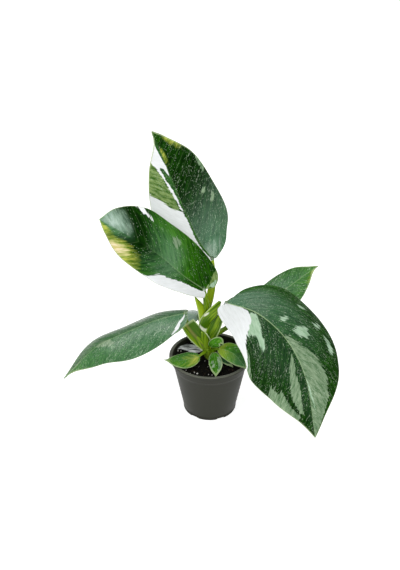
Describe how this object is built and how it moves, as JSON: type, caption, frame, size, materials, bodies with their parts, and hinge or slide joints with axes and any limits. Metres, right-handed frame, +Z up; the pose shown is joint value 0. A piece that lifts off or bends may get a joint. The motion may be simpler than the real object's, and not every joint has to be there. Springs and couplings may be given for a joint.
{
  "type": "potted white wizard philodendron",
  "caption": "Young philodendron with broad pointed leaves marbled green and white, standing in a round plastic nursery pot of dark soil.",
  "frame": {"origin": "centre of the pot's underside, on the surface that it stands on", "axes": "+Z up along the pot's axis, -Y towards the plant's front, +X towards its largest leaf"},
  "size_m": [0.2983, 0.1655, 0.3372],
  "materials": {
    "pot": "moulded recycled plastic, warm dark grey, dull with a soft sheen",
    "soil": "damp dark coco and peat mix with white grains",
    "stem": "smooth waxy yellow-green petioles with pale margins",
    "leaf": "glossy leathery blades, dark green marbled with sage, cream and white",
    "dry_scale": "dry, papery, silver-grey"
  },
  "bodies": {
    "root": {"pot": "pot", "soil": "soil", "stem": "stem", "leaf_top": "leaf", "leaf_upper_left": "leaf", "leaf_left": "leaf", "leaf_right": "leaf", "leaf_right_back": "leaf", "leaf_back": "leaf", "leaf_small_left": "leaf", "leaf_small_front": "leaf", "leaf_small_right": "leaf", "leaf_small_under": "leaf", "leaf_curled": "leaf", "dry_scale": "dry_scale"}
  },
  "joints": []
}
